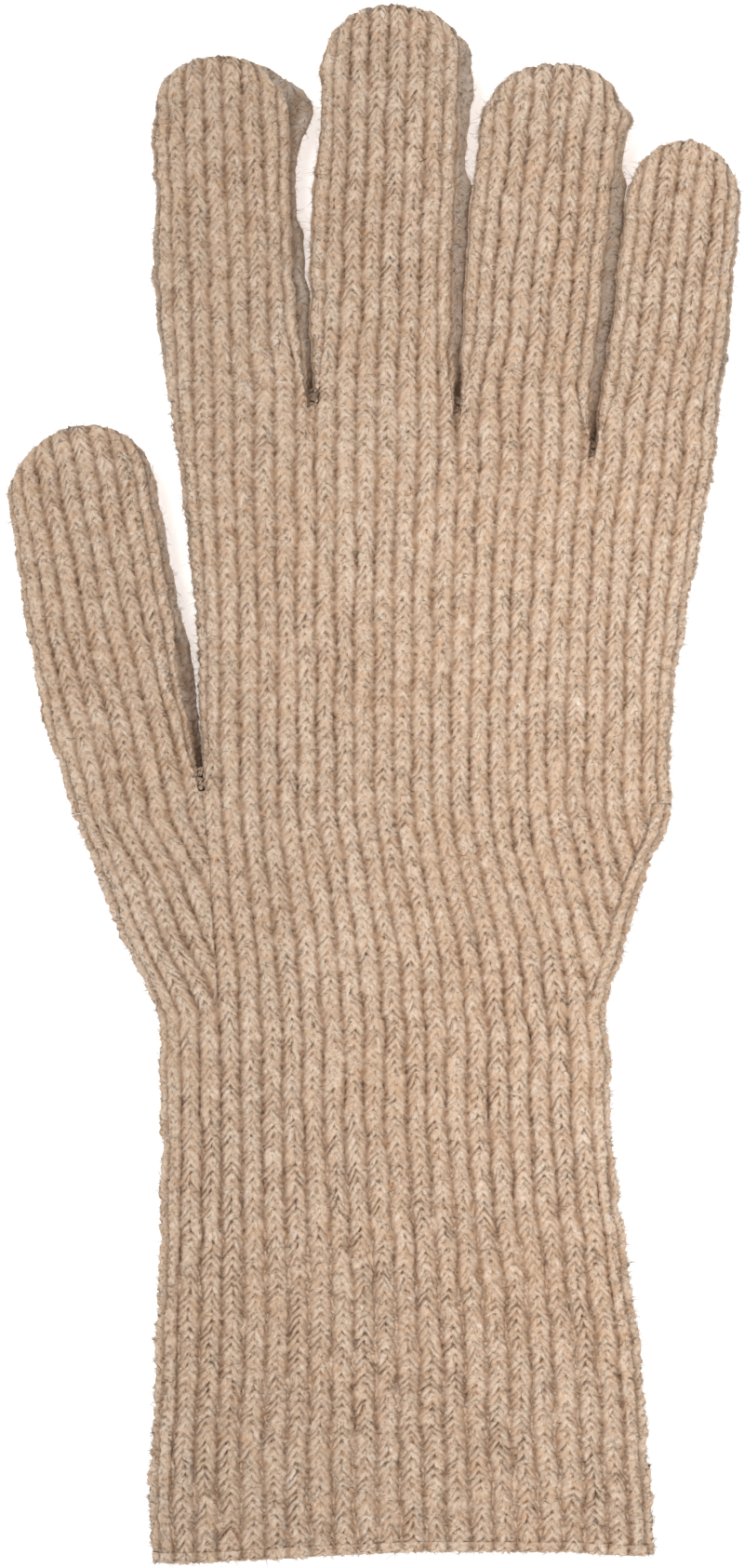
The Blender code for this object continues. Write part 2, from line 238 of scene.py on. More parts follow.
def fanned(x, y):
    lean = FAN * (x - FAN_CENTRE)
    return x + lean * (30.0 - np.clip(y, 0.0, 60.0) ** 2 / 120.0)


def palm_ribs(x, y):
    """Rib number on the palm: the ribs fan out a little towards the fingers."""
    return (fanned(x, y) - fanned(THUMB_CROTCH[0], 0.0)) / HEEL_PITCH + SEAM_RIB


def loosen(rib, course):
    """Rib and course numbers with the unevenness of hand-steamed stitches."""
    rib_out = rib + 0.055 * wander(0, rib * 0.9, course * 0.40)
    rib_out = rib_out + 0.050 * wander(7, rib * 2.1 + 9.0, course * 1.1)
    slip = 0.55 * wander(1, rib * 0.35, course * 0.09)
    return rib_out, course + slip + 0.36 * wander(8, rib * 1.9, course * 0.8)


def stitches(rib, course):
    """Depth of the fabric's surface below the tops of its ribs."""
    cell = np.floor(rib)
    off = np.abs(rib - cell - 0.5)
    side = np.where(rib - cell > 0.5, 41.0, 0.0)
    leg = course + STITCH_SLOPE * off
    groove = (0.5 + 0.5 * np.cos(2.0 * math.pi * leg)) ** 1.4
    notch = 1.0 + SCALLOP * (groove - 0.4)
    crest = (1.0 - np.clip(2.0 * off * notch, 0.0, 1.0) ** CREST_POWER) ** 0.95
    vary = np.maximum(1.0 + 1.5 * wander(2, cell * 4.7 + side, np.floor(leg) * 1.7), 0.1)
    tuck = 1.0 + 0.5 * wander(3, cell * 2.9, course * 0.45)
    x, y = off * RIB_WIDTH, course * HAND_COURSE
    across, along = LEG_X * x + LEG_Y * y, LEG_Y * x - LEG_X * y
    tuft = (wander(10, across / 0.38 + cell * 7.3 + side, along / 0.9 + cell * 3.1)
            + 0.9 * wander(11, across / 0.75 + cell * 5.7, along / 0.75 + side)
            + 0.7 * wander(5, rib * 9.0, course * 4.1))
    depth = (RIB_DEPTH * (1.0 - crest) * tuck
             + STITCH_DEPTH * groove * vary * (0.4 + 0.6 * crest)
             + SPINE_DEPTH * bell(off, SPINE_HALF) * vary
             + PUFF_DEPTH * (1.0 + wander(9, rib * 1.3, course * 0.55))
             + TUFT_DEPTH * (1.0 + tuft))
    return np.maximum(depth, 0.0)


# ---- rings
FOLD_REACH = 4.2  # how far a side fold reaches in from the edge, in plan
BOW_RUN = 12.0  # how far in from a fold the surface still falls towards it
HEM_RISE = 2.2  # the bound edge isn't quite square to the cuff
EDGE_WAVE = 0.42  # how far the outline wanders


def fold_arc(reach, height, points):
    """Quarter-ellipse side fold, from its flat end to its middle.

    Returns how far out and how high each point lies, and the length of fabric to it.
    """
    angle = np.linspace(0.0, math.pi / 2.0, 33)
    steps = np.hypot(np.diff(reach * np.sin(angle)), np.diff(height * np.cos(angle)))
    length = np.concatenate([[0.0], np.cumsum(steps)])
    wanted = np.linspace(0.0, length[-1], points)
    turn = np.interp(wanted, length, angle)
    return reach * np.sin(turn), np.cos(turn), wanted


def section(left, right, thick, reach, stops=(), shelf=0.0, crown=(0.5, 0.5), kink=None,
            lift=0.0):
    """Cross-section: edge points, thickness, fold reaches, where its groups of columns
    meet, how far the back layer shows past the right edge, fall of the surface towards
    the edges, thumb tilt, height above the floor."""
    return left, right, thick, reach, stops, shelf, crown, kink, lift


def ring(sec, counts, back_counts):
    """Grid points round one cross-section, and where the fabric lies when unrolled."""
    left, right, thick, reach, stops, shelf, crown, kink, lift = sec
    half = thick / 2.0
    n = FOLD_POINTS // 2
    out_l, high_l, arc_l = fold_arc(reach[0], half, n + 1)
    out_r, high_r, arc_r = fold_arc(reach[1], half, n + 1)
    flat_l = left[0] + reach[0]
    flat_r = right[0] - reach[1]
    marks = [flat_l, *stops, flat_r]
    front, under = [], []
    for a, b, many, few in zip(marks, marks[1:], counts, back_counts):
        front.append(a + (b - a) * np.arange(1, many + 1) / many)
        under.insert(0, b + (a - b) * np.arange(1, few + 1) / few)
    front = np.concatenate(front)
    under = np.concatenate(under)

    def all_round(to_left, to_right):
        """Values round the ring from the distances out along each fold."""
        return np.concatenate([(flat_l - to_left)[::-1], front, (flat_r + to_right)[1:],
                               (flat_r + to_right)[::-1][1:], under, (flat_l - to_left)[1:-1]])

    x = all_round(out_l, out_r)
    up = np.concatenate([high_l[::-1], np.ones(len(front)), high_r[1:],
                         -high_r[::-1][1:], -np.ones(len(under)), -high_l[1:-1]])
    across = np.clip((x - left[0]) / max(right[0] - left[0], 1e-6), 0.0, 1.0)
    y = mix(left[1], right[1], across)
    if kink:
        y = right[1] - np.maximum(kink[0] - x, 0.0) * kink[1]
    bow = (crown[0] * np.clip(1.0 - (x - left[0]) / BOW_RUN, 0.0, 1.0) ** 2
           + crown[1] * np.clip(1.0 - (right[0] - x) / BOW_RUN, 0.0, 1.0) ** 2)
    z = half + up * (half - np.where(up > 0.0, bow, 0.4 * bow))
    x = x + shelf * ramp(-up, -0.25, 0.2) * ramp(across, 0.6, 1.0)
    return np.stack([x, y, z + lift], -1), all_round(arc_l, arc_r)


def lay(rings, counts, back_counts):
    """Stack cross-sections into a grid of points and their unrolled places."""
    made = [ring(sec, counts, back_counts) for sec in rings]
    return np.array([m[0] for m in made]), np.array([m[1] for m in made])


def grid_normals(points):
    """Outward normals of a grid of rings."""
    down = np.gradient(points, axis=0)
    round_ring = np.roll(points, -1, axis=1) - np.roll(points, 1, axis=1)
    normal = np.cross(round_ring, down)
    size = np.linalg.norm(normal, axis=-1, keepdims=True)
    return normal / np.maximum(size, 1e-12)


def soften(points):
    """The slow unevenness of hand-flattened fabric: small swells and a wavy outline."""
    x, y, z = points[..., 0], points[..., 1], points[..., 2]
    lift = 0.45 * wander(4, x / 11.0 + 3.0, y / 13.0) + 0.25 * wander(5, x / 5.0, y / 6.0)
    out = points.copy()
    out[..., 2] = z + (lift - 0.35) * ramp(z, 2.0, 8.0)
    on_side = ramp(np.abs(z - THICK / 2.0), 4.5, 1.5)
    at_x = x / 17.0 + 0.5
    fine = 0.5 * wander(8, y / 3.1, at_x) + 0.5 * wander(7, y / 1.5, at_x)
    out[..., 0] = x + EDGE_WAVE * (0.45 * wander(6, y / 5.6, at_x) + on_side * fine)
    rise = HEM_RISE * (ramp(x, -44.0, 12.0) - 0.35 * ramp(x, 34.0, 50.0))
    out[..., 1] = y + rise * ramp(-y, 90.0, 140.0)
    return out


def carve(points, rib, course, fade, valley=0.0, hollow=0.0):
    """Push a grid's points inwards by the depth of the knitting, and down by hollow."""
    smooth = soften(points)
    depth = np.maximum(stitches(rib, course) * fade, valley)
    out = smooth - grid_normals(smooth) * depth[..., None]
    out[..., 2] -= hollow
    return out


# ---- pieces
HAIR_STATIONS = ((0.0, 1.0), (0.35, 0.9), (0.7, 0.7), (1.0, 0.2))  # place, share of width
HAIR_QUADS = ((0, 1, 3, 2), (2, 3, 5, 4), (4, 5, 7, 6))


def grow_hairs(points, normals, uv, seed):
    """Short loose fibres that stand off the wool, as narrow ribbons of three quads.

    Returns their points, the normals they are lit with, their UVs and their quads.
    """
    rng = np.random.default_rng(seed)
    step = np.linalg.norm(np.roll(points, -1, axis=1) - points, axis=-1)[:-1]
    rise = np.linalg.norm(points[1:] - points[:-1], axis=-1)
    fall = -normals[:-1, :, 2]
    area = step * rise * (1.0 + 1.8 * ramp(fall, -0.6, 0.0) - 2.4 * ramp(fall, 0.1, 0.7))
    area = area.ravel()
    many = int(area.sum() * HAIRS_PER_MM2)
    place = rng.choice(area.size, many, p=area / area.sum())
    root = points[:-1].reshape(-1, 3)[place]
    up = normals[:-1].reshape(-1, 3)[place]
    uv = uv[:-1].reshape(-1, 2)[place]
    aim = rng.normal(size=(many, 3))
    aim -= up * (aim * up).sum(1, keepdims=True)
    aim /= np.linalg.norm(aim, axis=1, keepdims=True)
    length = rng.gamma(3.0, HAIR_LENGTH / 3.0, many)[:, None]
    stand = rng.uniform(0.25, 1.0, many)[:, None]
    curl = rng.normal(size=(many, 3)) * 0.35
    wide = np.cross(up + 0.3 * curl, aim)
    wide *= HAIR_HALF / np.linalg.norm(wide, axis=1, keepdims=True)
    strip = []
    for t, share in HAIR_STATIONS:
        bend = aim * t * 0.8 + up * stand * (t - 0.55 * t * t) + curl * t * t
        centre = root - 0.05 * up + length * bend
        centre[:, 2] = np.maximum(centre[:, 2], 0.03)
        strip += [centre - wide * share, centre + wide * share]
    hair = np.stack(strip, 1)
    size = len(strip)
    first = points.shape[0] * points.shape[1] + size * np.arange(many)[:, None]
    quads = np.concatenate([first + np.array(q) for q in HAIR_QUADS])
    return hair.reshape(-1, 3), np.repeat(up, size, axis=0), np.repeat(uv, size, axis=0), quads


def grid_quads(rows, n, first=0):
    """Quads of a grid of closed rings."""
    index = first + np.arange(rows * n).reshape(rows, n)
    a, b = index[:-1], index[1:]
    return np.stack([a, np.roll(a, -1, axis=1), np.roll(b, -1, axis=1), b], -1).reshape(-1, 4)


def link(name, data):
    """New object in the scene."""
    made = bpy.data.objects.new(name, data)
    bpy.context.scene.collection.objects.link(made)
    return made


def knitted(name, co, quads, uv, material):
    """Smooth mesh whose UVs are the rib and course numbers of its points."""
    mesh = bpy.data.meshes.new(name)
    mesh.vertices.add(len(co))
    mesh.vertices.foreach_set("co", (co * MM).ravel())
    mesh.loops.add(quads.size)
    mesh.loops.foreach_set("vertex_index", quads.ravel())
    mesh.polygons.add(len(quads))
    mesh.polygons.foreach_set("loop_start", np.arange(0, quads.size, 4))
    mesh.update(calc_edges=True)
    mesh.shade_smooth()
    layer = mesh.uv_layers.new(name="knit")
    layer.data.foreach_set("uv", uv[quads.ravel()].astype(np.float32).ravel())
    mesh.materials.append(material)
    return link(name, mesh)


def make_piece(name, points, rib, course, material, body, nodes, hairy=True,
               normals=None):
    """Piece of the glove from a grid, with its loose fibres.

    It hangs on the body given by name; given two bodies and the two ends of a bend instead, it
    hangs on no body and keeps its place.
    """
    if normals is None:
        normals = grid_normals(points)
    uv = np.stack([rib, course], -1)
    co, lit, uv_all = points.reshape(-1, 3), normals.reshape(-1, 3), uv.reshape(-1, 2)
    quads = grid_quads(*points.shape[:2])
    if hairy:
        seed = sum(ord(c) * (k + 1) for k, c in enumerate(name))
        more = grow_hairs(points, normals, uv, seed)
        co, lit, uv_all, quads = (np.concatenate([have, new])
                                  for have, new in zip((co, lit, uv_all, quads), more))
    piece = knitted(name, co, quads, uv_all, material)
    piece.data.normals_split_custom_set_from_vertices(lit)
    if isinstance(body, str):
        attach(piece, body)
    else:
        first, second, start, end = body
        tuple(v * MM for v in start)
        tuple(v * MM for v in end)
        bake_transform(piece)
    if nodes:
        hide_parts(*nodes)


# ---- materials
def srgb(r, g, b):
    """Linear colour from 0-255 screen values, none of them near black."""
    return (*(((v / 255.0 + 0.055) / 1.055) ** 2.4 for v in (r, g, b)), 1.0)


class Wire:
    """Output of a node; a sum with it becomes a maths node."""

    def __init__(self, nodes, socket):
        self.nodes = nodes
        self.socket = socket

    def __add__(self, other):
        return self.nodes.maths("ADD", self, other)

    def __sub__(self, other):
        return self.nodes.maths("SUBTRACT", self, other)

    def __mul__(self, other):
        return self.nodes.maths("MULTIPLY", self, other)

    def __pow__(self, other):
        return self.nodes.maths("POWER", self, other)


class Nodes:
    """A new material, and short calls for building its nodes."""

    def __init__(self, name):
        self.material = bpy.data.materials.new(name)
        self.material.use_nodes = True
        self.tree = self.material.node_tree

    def feed(self, socket, value):
        if isinstance(value, Wire):
            self.tree.links.new(value.socket, socket)
        else:
            socket.default_value = value

    def add(self, kind, output=0, inputs=(), **settings):
        """Output of a new node with these settings and inputs, by name or number."""
        made = self.tree.nodes.new("ShaderNode" + kind)
        for key, value in settings.items():
            setattr(made, key, value)
        for key, value in dict(inputs).items():
            self.feed(made.inputs[key], value)
        return Wire(self, made.outputs[output])

    def surface(self, inputs):
        """Set the inputs of the material's shader; returns the material."""
        for key, value in inputs.items():
            self.feed(self.tree.nodes["Principled BSDF"].inputs[key], value)
        return self.material

    def maths(self, operation, *values):
        return self.add("Math", 0, enumerate(values), operation=operation)

    def vector(self, x, y, z):
        return self.add("CombineXYZ", 0, enumerate((x, y, z)))

    def split(self, vector):
        made = self.add("SeparateXYZ", 0, {0: vector}).socket.node
        return [Wire(self, made.outputs[axis]) for axis in "XYZ"]

    def noise(self, vector, scale, detail=2.0, rough=0.5, warp=0.0):
        inputs = {"Vector": vector, "Scale": scale, "Detail": detail, "Roughness": rough,
                  "Distortion": warp}
        return self.add("TexNoise", "Fac", inputs)

    def levels(self, value, low, high, out_low=0.0, out_high=1.0):
        inputs = {"Value": value, "From Min": low, "From Max": high, "To Min": out_low,
                  "To Max": out_high}
        return self.add("MapRange", "Result", inputs, interpolation_type="SMOOTHSTEP")

    def blend(self, share, a, b, kind="MIX"):
        return self.add("Mix", "Result", {"Factor": share, "A": a, "B": b}, data_type="RGBA",
                        blend_type=kind)


PALE = srgb(250, 247, 241)
CREAM = srgb(241, 223, 204)
SAND = srgb(219, 187, 158)
GOLD = srgb(207, 164, 124)
SHADOW = srgb(160, 123, 93)
LEDGE_SHADE = (0.64, 0.67, 0.71, 1.0)
# where the painted light and shade on the wool change its brightness, in metres, and from what to
# what
PAINTED_LIGHT_ACROSS = (-0.060, 0.040, 0.93, 1.10)
PAINTED_SHADE_ALONG = ((0.045, 0.085, 1.0, 0.93), (0.105, 0.138, 1.0, 0.94),  # fingers, tips
             (-0.142, -0.085, 0.93, 1.0))  # and the hem
LEDGE_Z = (0.0050, 0.0071, 1.0, 0.0)  # a ledge below this lies in shade


def wool(name, gold=0.5, dark=1.0):
    """Felted melange wool knitted in ribs, drawn from the rib and course numbers."""
    k = Nodes(name)
    rib, course, _ = k.split(k.add("UVMap", "UV", uv_map="knit"))
    place = k.add("TexCoord", "Object")
    place_x, place_y, place_z = k.split(place)
    part = k.maths("FRACT", rib) - 0.5
    off = k.maths("ABSOLUTE", part)
    cell = k.maths("FLOOR", rib) + k.maths("GREATER_THAN", part, 0.0) * 0.37

    # along and across the yarn of one stitch leg, in millimetres
    x = off * RIB_WIDTH
    y = course * HAND_COURSE
    along = x * LEG_Y - y * LEG_X
    across = x * LEG_X + y * LEG_Y
    leg = course + off * STITCH_SLOPE
    one = k.add("TexWhiteNoise", "Value", {"Vector": k.vector(cell, k.maths("FLOOR", leg), 0.0)},
                noise_dimensions="2D")
    strand = k.maths("ABSOLUTE", k.maths("FRACT", leg) * 2.0 - 1.0)

    def yarn_noise(fine, long, shift, detail, warp):
        """Noise stretched along the yarn, fine and long waves per millimetre."""
        at = k.vector(across * fine, along * long, cell * shift)
        return k.noise(at, 1.0, detail, 0.6, warp)

    fibre = yarn_noise(4.6, 1.2, 9.7, 3.0, 1.4)
    streak = yarn_noise(3.2, 0.9, 4.3, 2.0, 1.8)
    tuft = yarn_noise(2.0, 1.5, 5.3, 2.0, 1.8)
    felt = k.noise(place, 1500.0, 4.0, 0.72, 1.2)
    patch = k.noise(place, 420.0)
    drift = k.noise(place, 60.0)

    light = k.levels(fibre * 0.30 + felt * 0.44 + tuft * 0.20 + one * 0.06, 0.41, 0.59)
    body = k.blend(light, SAND, CREAM)
    body = k.blend(k.levels(tuft * 0.5 + patch * 0.5, 0.43, 0.66, 0.0, gold), body, GOLD)
    body = k.blend(k.levels(drift, 0.35, 0.68, 0.0, 0.20), body, GOLD)
    body = k.blend(k.levels(streak, 0.55, 0.70, 0.0, 0.55), body, PALE)
    # between the stitches, under their tips and in the valleys less light gets out
    groove = strand ** 2.2 * k.levels(tuft, 0.3, 0.6, 0.34, 0.0)
    pit = k.levels(off, 0.02, 0.15, 1.0, 0.0) * k.levels(strand, 0.45, 0.9)
    pit = pit * k.levels(one, 0.25, 0.8, 0.0, 0.55)
    edge = off + (patch - 0.5) * 0.24 + (felt - 0.5) * 0.20 + strand ** 2.0 * 0.05
    valley = k.levels(edge, 0.26, 0.52, 0.0, 0.60)
    shade = k.maths("MAXIMUM", k.maths("MAXIMUM", groove, pit), valley)
    body = k.blend(shade * dark, body, SHADOW)
    # painted light and shade: darker towards the thumb's side, up the fingers, at the tips and at
    # the hem, lighter towards the right
    painted_light = k.levels(place_x, *PAINTED_LIGHT_ACROSS)
    for change in PAINTED_SHADE_ALONG:
        painted_light = painted_light * k.levels(place_y, *change)
    body = k.blend(1.0, body, k.vector(painted_light, painted_light, painted_light), "MULTIPLY")
    # a back layer that shows beside a finger faces up, low down, and lies in shade
    _, _, facing = k.split(k.add("NewGeometry", "Normal"))
    ledge = k.levels(facing, 0.42, 0.75) * k.levels(place_z, *LEDGE_Z)
    body = k.blend(ledge, body, LEDGE_SHADE, "MULTIPLY")

    height = fibre * 0.11 + felt * 0.09 + tuft * 0.12 - strand ** 2.5 * 0.08
    bump = k.add("Bump", "Normal", {"Strength": 0.9, "Distance": MM, "Height": height})
    return k.surface({"Base Color": body, "Roughness": k.levels(fibre, 0.3, 0.7, 0.82, 0.98),
                      "Specular IOR Level": 0.2, "Sheen Weight": 0.2, "Sheen Roughness": 0.45,
                      "Sheen Tint": CREAM, "Normal": bump})


PALM_WOOL = wool("wool_palm")
CUFF_WOOL = wool("wool_cuff", gold=0.5, dark=1.05)
FINGER_WOOL = wool("wool_finger", gold=0.55)
THUMB_WOOL = wool("wool_thumb", gold=0.6)


# ---- the hand: edges and grid columns
HEEL_CORNER_Y = -6.5  # the right edge has a corner beside the ball of the thumb
# swells of the outline: y of the middle, half length, height
RIGHT_SWELLS = ((HEEL_CORNER_Y, 6.0, 1.4), (HEEL_CORNER_Y + 19.5, 9.0, 1.0),
                (HEM_Y + 42.0, 26.0, 1.75),  # the cuff bags out above its hem
                (WRIST_Y + 22.0, 8.0, -0.8), (WRIST_Y - 5.0, 7.0, 0.9),
                (HEM_Y + 10.0, 13.0, 0.8))  # and the hem flares
LEFT_SWELLS = ((LINE_LEFT[1] + 23.0, 18.0, 2.5),  # the index finger's side
               (tip_of(0) - 15.0, 8.0, 1.3),  # and its shoulder
               (HEM_Y + 37.0, 26.0, 0.175), (HEM_Y + 18.0, 16.0, 0.8),
               (WRIST_Y + 14.0, 8.0, 1.0))
LITTLE_OUT = 0.6  # the right side swells along the little finger
FOLD_EXTRA = fold_arc(FOLD_REACH, THICK / 2.0, 9)[2][-1] - FOLD_REACH
CLEAR = 0.10  # from a crotch's middle line to each finger's wall
WALL_REACH = 0.15  # fold reach of a wall that starts at a crotch
DIGIT_REACH = 3.9
OPEN_RUN = 19.0  # distance above a crotch over which its walls round off
WALL_FADE = 0.2  # share of the relief left on walls between two fingers
OPEN_FADE = 0.7  # and on open sides
WRIST_RUN = 13.0  # half the length over which the wrist bends
ROOT_RUN = 11.5  # length over which a digit's root bends
MID_RUN = 6.5  # half the length over which a knuckle bends
END_RUN = 5.5
THUMB_RUN = 7.0
BEND_LEAD = 3.0  # a piece starts this far before its bend
HEM_LIP = 1.1  # radius of the rounded hem
HEM_CHAIN = 0.35  # relief of the bind-off stitches
LINING_END_Y = WRIST_Y - WRIST_RUN - 3.0


def swell(y, centre, run, height):
    """A swell of an outline at y."""
    return height * bell(y - centre, run)


def right_edge(line, y):
    """Right fold of the hand at y."""
    out = sum(swell(y, *shape) for shape in RIGHT_SWELLS)
    return edge_at(line, y) + out + LITTLE_OUT * ramp(y, 20.0, 45.0)


def left_edge(line, y):
    """Left fold of the hand and the thumb's side at y."""
    return edge_at(line, y) - sum(swell(y, *shape) for shape in LEFT_SWELLS)


def columns(width, step):
    return max(2, int(round(width / step)))


PALM_WIDTHS = np.diff([THUMB_CROTCH[0], *ROOT_X[1:]])
PALM_COLUMNS = [columns(w, STEP) for w in PALM_WIDTHS]
PALM_UNDER = [columns(w, BACK_STEP) for w in PALM_WIDTHS]
PALM_SHARES = np.cumsum(PALM_COLUMNS)[:-1] / sum(PALM_COLUMNS)
THUMB_COLUMNS = columns(THUMB_CROTCH[0] - THUMB_ROOT, STEP)
THUMB_UNDER = columns(THUMB_CROTCH[0] - THUMB_ROOT, BACK_STEP)
THUMB_SHARE = THUMB_COLUMNS / (THUMB_COLUMNS + sum(PALM_COLUMNS))
LOW_COLUMNS = ([THUMB_COLUMNS, *PALM_COLUMNS], [THUMB_UNDER, *PALM_UNDER])


def low_station(y, inset=0.0):
    """Cross-section of the cuff and heel; near the thumb its left part tilts."""
    tan = THUMB_TAN * ramp(y, WRIST_Y + 8.0, CROTCH_Y)
    rise = ramp(y, WRIST_Y - 10.0, CROTCH_Y)
    right = right_edge(LOW_LINES[1], y) - inset
    left_y = y
    for _ in range(3):
        left = left_edge(LOW_LINES[0], left_y) + inset
        kink = mix(left + THUMB_SHARE * (right - left), THUMB_CROTCH[0], rise)
        left_y = y - tan * (kink - left)
    reach = FOLD_REACH - 0.6 * inset
    stops = [kink, *(kink + (right - reach - kink) * PALM_SHARES)]
    return section((left, left_y), (right, y), THICK - 2.0 * inset, (reach, reach), stops,
                   kink=(kink, tan), lift=inset)


def low_fields(points, flat, row_y):
    """Rib and course numbers of the cuff and heel, and the valley of the thumb seam."""
    y = points[..., 1]
    left = left_edge(LOW_LINES[0], y) - FOLD_EXTRA
    right = right_edge(LOW_LINES[1], y) + FOLD_EXTRA
    wrist_left = left_edge(LOW_LINES[0], WRIST_Y) - FOLD_EXTRA
    wrist_right = right_edge(LOW_LINES[1], WRIST_Y) + FOLD_EXTRA
    pitch = (wrist_right - wrist_left) / FULL_RIBS
    cuff = FULL_RIBS * (flat - left) / (right - left)
    upright = mix((flat - wrist_left) / pitch, palm_ribs(flat, y),
                  ramp(y, WRIST_Y, CROTCH_Y + 3.0))
    edge = FULL_RIBS - (right - flat) / RIB_WIDTH
    at_heel = y < HEEL_CORNER_Y + 3.0
    rib = np.where(at_heel & (right - flat < EDGE_RIBS * RIB_WIDTH), edge, upright)
    # the thumb's ribs follow the left fold and end one by one at an upright seam
    squeeze = mix(0.93, 1.0 / THUMB_SIDE[0], ramp(y, WRIST_Y + 18.0, CROTCH_Y - 2.0))
    squeeze = mix(1.0, squeeze, ramp(y, WRIST_Y, WRIST_Y + 6.0))
    thumb = (flat - left) * squeeze / mix(pitch, RIB_WIDTH, ramp(y, WRIST_Y, WRIST_Y + 10.0))
    seam = mix(wrist_left + SEAM_RIB * pitch, THUMB_CROTCH[0],
               np.clip((y - WRIST_Y) / (CROTCH_Y - WRIST_Y), 0.0, 1.0) ** 1.3)
    rib = np.where(flat < seam, thumb, rib)
    rib = np.where(y < WRIST_Y, cuff, rib)
    above = y > WRIST_Y
    from_seam = np.where(above, np.abs(flat - seam), 9.0)
    from_edge = np.where(above & at_heel, np.abs(right - flat - EDGE_RIBS * RIB_WIDTH), 9.0)
    valley = 0.8 * RIB_DEPTH * bell(np.minimum(from_seam, from_edge), 0.5)
    course = courses(row_y)[:, None] + np.zeros_like(y)
    return (*loosen(rib, course), valley)


def build_low():
    """Cuff, wrist and heel, from the hem to the thumb's crotch."""
    rows = columns(CROTCH_Y - HEM_END_Y, STEP)
    row_y = np.linspace(HEM_END_Y, CROTCH_Y, rows + 1)
    points, flat = lay(map(low_station, row_y), *LOW_COLUMNS)
    rib, course, valley = low_fields(points, flat, row_y)
    deep = 1.0 + CUFF_DEEPER * ramp(-points[..., 1], 10.0 - WRIST_Y, 50.0 - WRIST_Y)
    points = carve(points, rib, course, deep, valley)
    bend = (WRIST_Y - WRIST_RUN, WRIST_Y + WRIST_RUN)
    cuts = np.searchsorted(row_y, bend)
    make_stretches("knit", points, rib, course, (
        ("cuff", cuts[0], "cuff", ["cuff_tube"], "cuff_rib", CUFF_WOOL),
        ("wrist", cuts[1], ("cuff", "hand", (0, bend[0], 0), (0, bend[1], 0)),
         ["wrist_sleeve"], "soft_sleeve", CUFF_WOOL),
        ("heel", rows, "hand", ["lower_palm"], "palm_rib", PALM_WOOL)))


def build_hem():
    """Bound-off edge: the fabric turns over a rounded lip and runs on inside."""
    lip = HEM_LIP
    turn = np.linspace(0.0, math.pi, LIP_ROWS)
    inside = np.linspace(LINING_END_Y, HEM_Y + lip, columns(LINING_END_Y - HEM_Y,
                                                            LINING_STEP))[:-1]
    outside = np.linspace(HEM_Y + lip, HEM_END_Y, columns(HEM_END_Y - HEM_Y - lip, STEP))[1:]
    insets = np.array([2.0 * lip] * len(inside) + list(lip * (1.0 + np.cos(turn)))
                      + [0.0] * len(outside))[:, None]
    row_y = np.concatenate([inside, HEM_Y + lip * (1.0 - np.sin(turn)), outside])
    up = (row_y - HEM_Y)[:, None]
    points, flat = lay(map(low_station, row_y, insets[:, 0]), *LOW_COLUMNS)
    rib, course, _ = low_fields(points, flat, row_y)
    in_cuff = insets > 1.5 * lip
    rib = rib + np.where(in_cuff, 0.5, 0.0)
    chain = HEM_CHAIN * np.abs(np.sin(math.pi * 2.0 * rib + 0.9 * up)) ** 0.6
    on_lip = (up < 2.4) & (insets < 1.9 * lip)
    ridge = 0.25 * bell(up - 2.3, 0.45) * np.maximum(wander(6, rib * 0.8, course), 0.0)
    valley = np.where(on_lip, HEM_CHAIN - chain, 0.0) + ridge * ~in_cuff
    points = carve(points, rib, course, np.where(in_cuff, 0.5, 0.85), valley)
    first = len(inside)
    make_piece("cuff_lining", points[:first + 1], rib[:first + 1], course[:first + 1],
               CUFF_WOOL, "cuff", [], hairy=False)
    make_piece("hem_bind_off_edge", points[first:], rib[first:], course[first:],
               CUFF_WOOL, "cuff", ["hem_bind_off"])


def wall(distance):
    """Fold reach of a wall at a distance above its crotch."""
    return mix(WALL_REACH, DIGIT_REACH, ramp(distance, 0.0, OPEN_RUN))


def palm_piece(name, node, rings, many, left, right):
    """Piece of the palm whose side walls keep the shares left and right of the relief."""
    points, flat = lay(rings, PALM_COLUMNS[:many], PALM_UNDER[:many])
    y = points[..., 1]
    rib, course = loosen(palm_ribs(flat, y), courses(y))
    fade = side_fade(points, sum(PALM_COLUMNS[:many]), left(y), right)
    make_piece(name, carve(points, rib, course, fade, 0.0, dimples(points)), rib, course,
               PALM_WOOL, "hand", [node])


def build_palm():
    """Palm from the thumb's crotch to the fingers; the little finger leaves first."""
    rings = []
    for t in np.linspace(0.0, 1.0, columns(LITTLE_Y - CROTCH_Y, STEP) + 1):
        y = mix(CROTCH_Y, LITTLE_Y, t)
        left = left_edge(HIGH_LINES[0], y)
        right = right_edge(MAIN_RIGHT, y)
        reach = (mix(WALL_REACH, FOLD_REACH, ramp(y - CROTCH_Y, 0.0, OPEN_RUN)), FOLD_REACH)
        even = left + reach[0] + (right - reach[1] - left - reach[0]) * PALM_SHARES
        rings.append(section((left, y), (right, y), THICK, reach, mix(even, CROTCH_X, t)))
    palm_piece("knit_palm", "main_palm", rings, 4,
               lambda y: mix(WALL_FADE, 1.0, ramp(y, CROTCH_Y, CROTCH_Y + OPEN_RUN)), 1.0)

    low_x = CROTCH_X[2] - CLEAR
    high_x = finger_edge(2, 1, line_y(low_x))
    rings = []
    for t in np.linspace(0.0, 1.0, columns(LINE_LEFT[1] - LITTLE_Y, STEP) + 1):
        left_y = mix(LITTLE_Y, LINE_LEFT[1], t)
        right_y = mix(LITTLE_Y, line_y(low_x), t)
        left = left_edge(HIGH_LINES[0], left_y)
        right = mix(low_x, high_x, t)
        shelf = max(finger_edge(3, 0, right_y) - right, 0.0) + LAP
        reach = (FOLD_REACH, wall(right_y - LITTLE_Y))
        rings.append(section((left, left_y), (right, right_y), THICK, reach, CROTCH_X[:2],
                             shelf, (0.5, 0.0)))
    palm_piece("knit_palm_top", "upper_palm", rings, 3, lambda y: 1.0, WALL_FADE)


